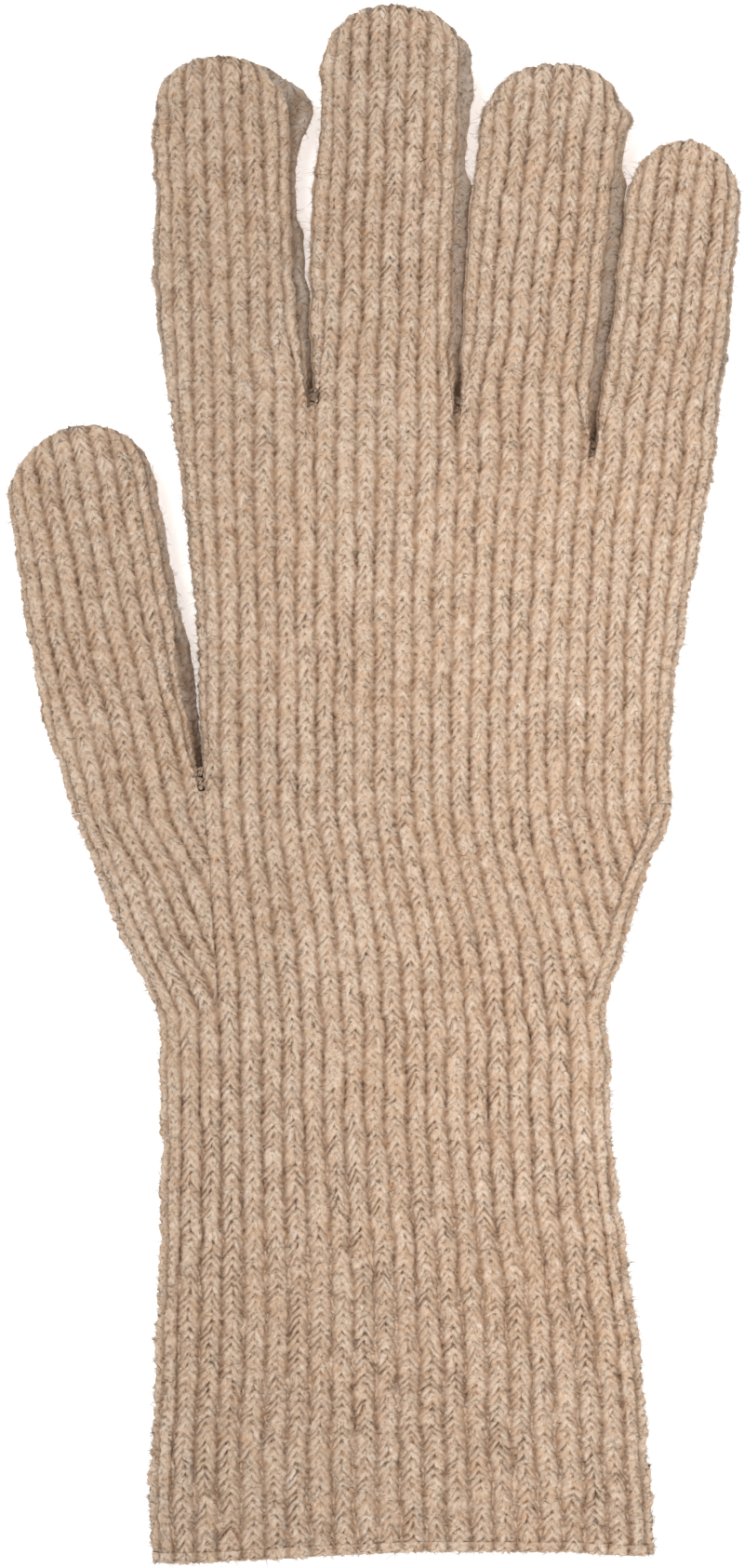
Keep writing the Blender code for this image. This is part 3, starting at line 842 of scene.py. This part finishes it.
DIMPLE_RUN = 8.0  # the groove between two fingers runs out in the palm
DIMPLE_DEPTH = 2.1
DIMPLE_HALF = 0.6
DIMPLE_END = 2.5  # and fades out above the crotch


def dimples(points):
    """Depth of the grooves that run down into the palm from the fingers' crotches."""
    x, y, z = points[..., 0], points[..., 1], points[..., 2]
    depth = np.zeros_like(x)
    for crotch_x, crotch_y in zip(CROTCH_X, (line_y(CROTCH_X[0]), line_y(CROTCH_X[1]), LITTLE_Y)):
        along = np.clip((y - crotch_y + DIMPLE_RUN) / DIMPLE_RUN, 0.0, 1.0) ** 1.2
        along = along * ramp(-y, -crotch_y - DIMPLE_END, -crotch_y)
        across = bell(x - crotch_x, DIMPLE_HALF)
        depth = np.maximum(depth, DIMPLE_DEPTH * across * along * ramp(z, 3.0, 10.0))
    return depth


# ---- digits
TIP_RUN = 12.5  # length of a rounded end
TIP_POWER = 2.2  # 2 is an ellipse
THUMB_SLANT = (1.75, 1.0)  # more than 1 slants the left or right side of a rounded end
LITTLE_SLANT = (1.0, 1.65)
TIP_FELT = 0.3  # share of the relief lost at the top of a tip
CLOSE_UP = (0.6, 0.6, 1.05)  # how far a finger's right wall closes up at a crotch
LITTLE_CLOSE = 0.3  # and the little finger's left wall
CLOSE_RUN = 9.0
SHELF = 2.4  # how far a finger's back layer may show past its right edge
PARTED_SHELF = 1.1  # and where the fingers part
SHELF_RUN = (34.0, 44.0, 45.0)  # height above each crotch at which the fingers part
LAP = 0.5  # how far a back layer reaches under the next finger
FRONT_IN = (1.8, 0.6, 0.0, 0.3)  # each finger's palm side stops inside its right edge
LEFT_OUT = (0.0, 0.9, 0.5, 0.0)  # how far each finger's left edge swells outwards
THUMB_IN = 0.7
THUMB_BALL = 19.0  # the thumb swells outwards this far above its root
THUMB_SHELF = 2.0
FULL_THUMB = 2.7  # how far the thumb's back layer shows near the palm
PARTED_THUMB = 0.7  # and where the two part
THUMB_PARTS = 29.0
PART_HALF = 2.0  # half the length over which two digits part
CROWN = 1.3  # fall of a digit's surface towards its folds
KNOB = (0.3, 1.2, 1.9, 0.3)  # corner left by the closing stitches at a tip
KNOB_BELOW = (10.8, 8.2, 10.8, 10.8)
KNOB_RUN = 2.4
SHELF_KNOB = (3.6, 1.3, 0.0)  # the same corner on the back layer, lower and longer
SHELF_BELOW = (9.0, 16.0, 10.8)
SHELF_KNOB_RUN = 6.3


def rounded_end(left, right, start, drift, thick, shelf, knob, slant=(1.0, 1.0)):
    """Cross-sections of a digit's closed end; shelf and knob are functions of y."""
    rings = []
    angle = np.linspace(0.0, math.pi / 2.0, TIP_ROWS + 1)[1:]
    for t in np.sin(angle) ** (2.0 / TIP_POWER):
        wide = max(1.0 - t ** TIP_POWER, 0.0) ** (1.0 / TIP_POWER)
        deep = max(1.0 - t ** 3.0, 0.0) ** 0.5
        y = start + TIP_RUN * t
        middle = (left + right) / 2.0 + drift * (y - start)
        half = (right - left) / 2.0
        low_x = middle - half * wide ** slant[0]
        high_x = middle + half * wide ** slant[1] + (knob(y) - knob(start)) * wide
        rings.append(section((low_x, y), (high_x, y), thick * deep, (DIGIT_REACH * wide,) * 2,
                             (), shelf(y) * wide, (CROWN * deep,) * 2,
                             lift=thick * (1.0 - deep) / 2.0))
    return rings


def side_fade(points, across, left, right):
    """Share of the relief over a tube whose side walls keep the shares left and right.

    The tube's palm side is as many columns across.
    """
    side = FOLD_POINTS // 2
    down = ramp(np.arange(side + 1) / side, 0.15, 0.85)
    to_left, to_right = np.zeros((2, points.shape[1]))
    to_left[:side + 1] = down[::-1]
    to_left[-(side - 1):] = down[1:-1]
    flat = side + across
    to_right[flat:flat + side + 1] = down
    to_right[flat + side:flat + 2 * side + 1] = 1.1 * down[::-1]
    return 1.0 - to_left * (1.0 - left) - to_right * (1.0 - right)


def digit_fade(points, across, shoulder, left, right):
    """Relief of a digit: less on its side walls up to the shoulder, and ribs that fade
    where they end at the tip."""
    y = points[..., 1]
    at_tip = ramp(y, shoulder - 3.0, shoulder + 4.0)
    fade = side_fade(points, across, mix(left, OPEN_FADE, at_tip),
                     mix(right, OPEN_FADE, at_tip))
    return fade * (1.0 - TIP_FELT * ramp(y, shoulder + 3.0, shoulder + TIP_RUN))


def make_stretches(stem, points, rib, course, stretches):
    """Make one piece for each stretch of a tube; the stretches say where each ends."""
    normals = grid_normals(points)
    start = 0
    for label, end, body, nodes, slot, material in stretches:
        rows = slice(start, end + 1)
        make_piece(f"{stem}_{label}", points[rows], rib[rows], course[rows], material, body,
                   nodes, normals=normals[rows])
        start = end


def knob(number, y):
    """Corner left by the closing stitches at the shoulder of a fingertip."""
    return swell(y, tip_of(number) - KNOB_BELOW[number], KNOB_RUN, KNOB[number])


def finger_edge(number, side, y):
    """Left (0) or right (1) edge of a finger's palm side at y."""
    line = FINGER_LINES[number][side]
    x = edge_at(line, y)
    above = y - line[0, 0]
    close = math.exp(-max(above, 0.0) / CLOSE_RUN)
    if side == 0:
        if number == 0:
            return left_edge(line, y)
        if number == 3:
            x -= LITTLE_CLOSE * close
        out = ramp(above, 0.0, 12.0) * (1.0 - ramp(above, 38.0, 52.0))
        return x - LEFT_OUT[number] * out
    if number == 3:
        x += LITTLE_OUT * ramp(tip_of(3) - y, 6.0, 18.0)
    else:
        x += CLOSE_UP[number] * close
    return x - FRONT_IN[number] * ramp(above, 4.0, 32.0) + knob(number, y)


def finger_shelf(number, y):
    """How far the back layer shows past a finger's right edge at y."""
    if number == 3:
        return 0.5 * ramp(y - LITTLE_Y, 4.0, 20.0)
    gap = finger_edge(number + 1, 0, y) - finger_edge(number, 1, y)
    gap = mix(gap, SHELF + LAP, ramp(y - tip_of(number + 1), -TIP_RUN, -4.0))
    above = y - FINGER_LINES[number][1][0, 0] - SHELF_RUN[number]
    most = mix(SHELF, PARTED_SHELF, ramp(above, -PART_HALF, PART_HALF))
    most += swell(y, tip_of(number) - SHELF_BELOW[number], SHELF_KNOB_RUN, SHELF_KNOB[number])
    return min(max(gap, 0.0) + LAP, most)


def build_finger(number):
    """One finger, from the line where it leaves the palm to its rounded end."""
    name = FINGERS[number]
    shoulder = tip_of(number) - TIP_RUN
    little = number == 3
    start_x = (ROOT_X[number] + (CLEAR if number else 0.0),
               ROOT_X[number + 1] - (0.0 if little else CLEAR))
    start_y = [LITTLE_Y if little else line_y(x) for x in start_x]
    crotch_y = (start_y[0], LITTLE_Y if number == 2 else start_y[1])
    base_y = sum(start_y) / 2.0
    centre_x = sum(start_x) / 2.0
    knuckle_y = joint_place(f"{name}_knuckle_bend")[1]
    end_x, end_y = joint_place(f"{name}_end_bend")[:2]
    lean = (end_x - centre_x) / (end_y - base_y)
    rings = []
    for t in np.linspace(0.0, 1.0, columns(shoulder - base_y, STEP) + 1):
        left_y, right_y = mix(start_y[0], shoulder, t), mix(start_y[1], shoulder, t)
        left, right = finger_edge(number, 0, left_y), finger_edge(number, 1, right_y)
        rise = ramp((left_y + right_y) / 2.0, base_y, base_y + 15.0)
        outer = mix(FOLD_REACH, DIGIT_REACH, rise)
        reach = (wall(left_y - crotch_y[0]) if number else outer,
                 outer if little else wall(right_y - crotch_y[1]))
        crown = (mix(0.0 if number else 0.5, CROWN, rise),
                 mix(0.5 if little else 0.0, CROWN, rise))
        rings.append(section((left, left_y), (right, right_y), mix(THICK, FINGER_THICK, rise),
                             reach, (), finger_shelf(number, right_y), crown))
    rings += rounded_end(left, right, shoulder, lean, FINGER_THICK,
                         lambda y: finger_shelf(number, y), lambda y: knob(number, y),
                         LITTLE_SLANT if little else (1.0, 1.0))
    points, flat = lay(rings, [PALM_COLUMNS[number]], [PALM_UNDER[number]])
    y = points[..., 1]
    rise = np.maximum(y - base_y, 0.0)
    root = palm_ribs(flat, np.minimum(y, 70.0))
    own = palm_ribs(centre_x, base_y) + (flat - centre_x - lean * rise) / RIB_WIDTH
    rib, course = loosen(mix(root, own, ramp(rise, 0.0, 16.0)), courses(y))
    fade = digit_fade(points, PALM_COLUMNS[number], shoulder,
                      WALL_FADE if number else OPEN_FADE, OPEN_FADE if little else WALL_FADE)
    points = carve(points, rib, course, fade, 0.0, dimples(points))
    row_y = y.mean(1)

    def bend(first, second, low, high):
        return first, second, (centre_x, low, 0.0), (centre_x, high, 0.0)

    base, mid, end = (f"{name}_{part}" for part in ("base", "mid", "end"))
    make_stretches(f"knit_{name}", points, rib, course, (
        ("base", np.searchsorted(row_y, knuckle_y - MID_RUN - BEND_LEAD),
         bend("hand", base, max(start_y), max(start_y) + ROOT_RUN),
         [f"{name}_root_sleeve", f"{name}_base_tube"], "finger_rib", FINGER_WOOL),
        ("mid", np.searchsorted(row_y, end_y - END_RUN - BEND_LEAD),
         bend(base, mid, knuckle_y - MID_RUN, knuckle_y + MID_RUN),
         [f"{name}_knuckle_sleeve", f"{name}_mid_tube"], "finger_rib", FINGER_WOOL),
        ("end", len(row_y) - 1, bend(mid, end, end_y - END_RUN, end_y + END_RUN),
         [f"{name}_end_sleeve", f"{name}_tip"], "finger_rib", FINGER_WOOL)))


def thumb_place(points):
    """Plan points in the thumb's own frame: across it, and along it from the crotch."""
    return (points[..., :2] - THUMB_CROTCH) @ THUMB_FRAME.T


def thumb_span(node):
    """Lowest and highest place of a thumb part in the thumb's frame."""
    local = thumb_place(corners(node))
    return local.min(0), local.max(0)


def build_thumb():
    """The thumb, laid out in its own frame, from the crotch line to its rounded end."""
    base_low, base_high = thumb_span("thumb_knuckle_sleeve")
    tip_low, tip_high = thumb_span("thumb_tip")
    shoulder = tip_high[1] - TIP_RUN
    stops = [0.0, base_low[1], shoulder]
    left_stops = [(THUMB_ROOT - THUMB_CROTCH[0]) / THUMB_SIDE[0], base_low[0], tip_low[0]]
    right_stops = [-CLEAR, base_high[0] - THUMB_IN, tip_high[0] - THUMB_IN]
    rings = []
    for s in np.linspace(0.0, shoulder, columns(shoulder, STEP) + 1):
        left = np.interp(s, stops, left_stops) + swell(s, shoulder, 9.0, 0.9)
        left -= swell(s, THUMB_BALL, 10.0, 1.1)
        right = np.interp(s, stops, right_stops)
        rise = ramp(s, 0.0, 15.0)
        edge = THUMB_CROTCH + THUMB_SIDE * right + THUMB_ALONG * s
        gap = edge_at(HIGH_LINES[0], edge[1]) - edge[0]
        parted = ramp(s, THUMB_PARTS - PART_HALF, THUMB_PARTS + PART_HALF)
        right += parted * (THUMB_SHELF - PARTED_THUMB)
        shelf = min(max(gap, 0.0) + LAP, mix(FULL_THUMB, PARTED_THUMB, parted))
        rings.append(section((left, s), (right, s), mix(THICK, THUMB_THICK, rise),
                             (mix(FOLD_REACH, DIGIT_REACH, rise), wall(s)), (), shelf,
                             (mix(0.5, CROWN, rise), CROWN * rise)))
    rings += rounded_end(left, right, shoulder, 0.0, THUMB_THICK, lambda y: PARTED_THUMB,
                         lambda y: 0.0, THUMB_SLANT)
    points, flat = lay(rings, [THUMB_COLUMNS], [THUMB_UNDER])
    s = points[..., 1]
    edge = np.interp(s, stops, left_stops) - FOLD_EXTRA
    rib, course = loosen((flat - edge) / RIB_WIDTH, courses(CROTCH_Y) + s / FINGER_COURSE)
    fade = digit_fade(points, THUMB_COLUMNS, shoulder, OPEN_FADE, 0.5)
    row_s = s.mean(1)
    plan = points[..., :2] @ THUMB_FRAME + THUMB_CROTCH
    points = carve(np.concatenate([plan, points[..., 2:]], -1), rib, course, fade)
    knuckle = thumb_place(joint_place("thumb_knuckle_bend"))[1]

    def along(at):
        return (*(THUMB_CROTCH + THUMB_ALONG * at), 0.0)

    make_stretches("knit_thumb", points, rib, course, (
        ("base", np.searchsorted(row_s, knuckle - THUMB_RUN - BEND_LEAD),
         ("hand", "thumb_base", along(0.0), along(ROOT_RUN)),
         ["thumb_root_sleeve", "thumb_base_tube"], "thumb_rib", THUMB_WOOL),
        ("end", len(row_s) - 1,
         ("thumb_base", "thumb_end", along(knuckle - THUMB_RUN), along(knuckle + THUMB_RUN)),
         ["thumb_knuckle_sleeve", "thumb_tip"], "thumb_rib", THUMB_WOOL)))


build_hem()
build_low()
build_palm()
for finger in range(4):
    build_finger(finger)
build_thumb()


# ---- darning at the crotches
DARN_BARS = 5  # stitches of darning yarn, each deeper in the crotch
YARN = 0.45  # radius of the yarn
YARN_TURN = 20.0  # radians its plies twist in one stitch
PLY_OUT, PLY_THICK = 0.45, 0.62  # shares of the yarn's radius
YARN_UP = (0.13, 0.2, 0.97)
YARN_RIB = 0.3


def yarn(path, seed):
    """Grids of a length of twisted two-ply yarn along a path."""
    rng = np.random.default_rng(seed)
    path = np.array(path)
    t = np.linspace(0.0, 1.0, 60)
    stops = np.linspace(0.0, 1.0, len(path))
    line = np.stack([np.interp(t, stops, path[:, k]) for k in range(3)], -1)
    for _ in range(6):
        line[1:-1] = (line[:-2] + line[2:] + 2.0 * line[1:-1]) / 4.0
    along = np.gradient(line, axis=0)
    along /= np.linalg.norm(along, axis=1, keepdims=True)
    side = np.cross(along, YARN_UP)
    side /= np.linalg.norm(side, axis=1, keepdims=True)
    up = np.cross(side, along)
    round_ply = np.linspace(0.0, 2.0 * math.pi, 9)[:-1, None]
    grids = []
    for ply in (0.0, math.pi):
        turn = (t * YARN_TURN + ply + rng.random())[:, None]
        centre = line + PLY_OUT * YARN * (side * np.cos(turn) + up * np.sin(turn))
        grids.append(centre[:, None] + PLY_THICK * YARN * (
            side[:, None] * np.cos(round_ply) - up[:, None] * np.sin(round_ply)))
    return grids


def build_darn(node):
    """Stitches of darning yarn across a crotch, on the palm side and the back."""
    low, high = box(node)
    cx = (low[0] + high[0]) / 2.0
    rng = np.random.default_rng(len(node) * 7 + 3)
    grids = []
    for k in range(DARN_BARS):
        y = low[1] - 0.8 + 0.8 * k
        tilt = 0.7 * (rng.random() - 0.5)
        top, bottom = high[2] - 1.1 - 0.5 * k, low[2] + 1.0 + 0.5 * k
        w = 0.7 + 0.3 * rng.random()
        path = [(cx - w, y - tilt, top - 0.5), (cx - 0.7 * w, y - 0.7 * tilt, top),
                (cx, y, top - 0.3), (cx + 0.7 * w, y + 0.7 * tilt, top - 0.05),
                (cx + w, y + tilt, top - 0.6)]
        grids += yarn(path, k + 5)
        grids += yarn([(px, py, bottom + (top - pz)) for px, py, pz in path], k + 15)
    rows, n = grids[0].shape[:2]
    quads = np.concatenate([grid_quads(rows, n, rows * n * k) for k in range(len(grids))])
    course = np.tile(np.repeat(np.arange(rows), n) / 12.0, len(grids))
    uv = np.stack([np.full(len(course), YARN_RIB), course], -1)
    piece = knitted(node + "_yarn", np.concatenate(grids).reshape(-1, 3), quads, uv, THUMB_WOOL)
    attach(piece, "hand")
    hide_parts(node)


for crotch in ("index_middle", "middle_ring", "ring_little", "thumb"):
    build_darn(crotch + "_darn")


# ---- floor, light and camera
FLOOR_HALF = 3.0  # metres, as are all lengths of the stage
FLOOR_Z = -0.0004
FLOOR_GLOW = 0.50  # the paper is lit from below, so the contact shadow stays pale
WHITE = (1.0, 1.0, 1.0, 1.0)
VIEW_TALL = 0.2873  # length the view takes in at the glove
VIEW_LEVEL = 0.6  # that height, as a share of the glove's thickness


def build_floor():
    mesh = bpy.data.meshes.new("floor")
    mesh.from_pydata([(x * FLOOR_HALF, y * FLOOR_HALF, FLOOR_Z)
                      for x, y in ((-1, -1), (1, -1), (1, 1), (-1, 1))], [], [(0, 1, 2, 3)])
    mesh.materials.append(Nodes("floor_paper").surface({
        "Base Color": (0.93, 0.93, 0.93, 1.0), "Roughness": 0.9, "Emission Color": WHITE,
        "Emission Strength": FLOOR_GLOW}))
    link("floor", mesh)


def area_light(name, place, size, power):
    """Round lamp that faces the middle of the glove."""
    light = bpy.data.lights.new(name, "AREA")
    light.shape = "DISK"
    light.size = size
    light.energy = power
    lamp = link(name, light)
    lamp.location = place
    lamp.rotation_mode = "QUATERNION"
    lamp.rotation_quaternion = (-Vector(place)).to_track_quat("-Z", "Y")


def build_room():
    world = bpy.data.worlds.new("soft_room")
    world.use_nodes = True
    back = world.node_tree.nodes["Background"]
    back.inputs["Color"].default_value = WHITE
    back.inputs["Strength"].default_value = 0.62
    bpy.context.scene.world = world
    area_light("key", (-0.9, 0.9, 1.7), 0.9, 17.0)
    area_light("fill", (1.1, -0.5, 1.6), 1.2, 9.0)


def build_camera():
    """Camera straight above the glove."""
    camera = bpy.data.cameras.new("camera")
    camera.lens = 200.0
    camera.clip_start = 0.05
    camera.clip_end = 20.0
    eye = link("camera", camera)
    away = VIEW_TALL * camera.lens / camera.sensor_width
    eye.location = (0.0, 0.0, CAD_BOX[1][2] * VIEW_LEVEL + away)
    bpy.context.scene.camera = eye


build_floor()
build_room()
build_camera()
bpy.context.scene.view_settings.view_transform = "Standard"
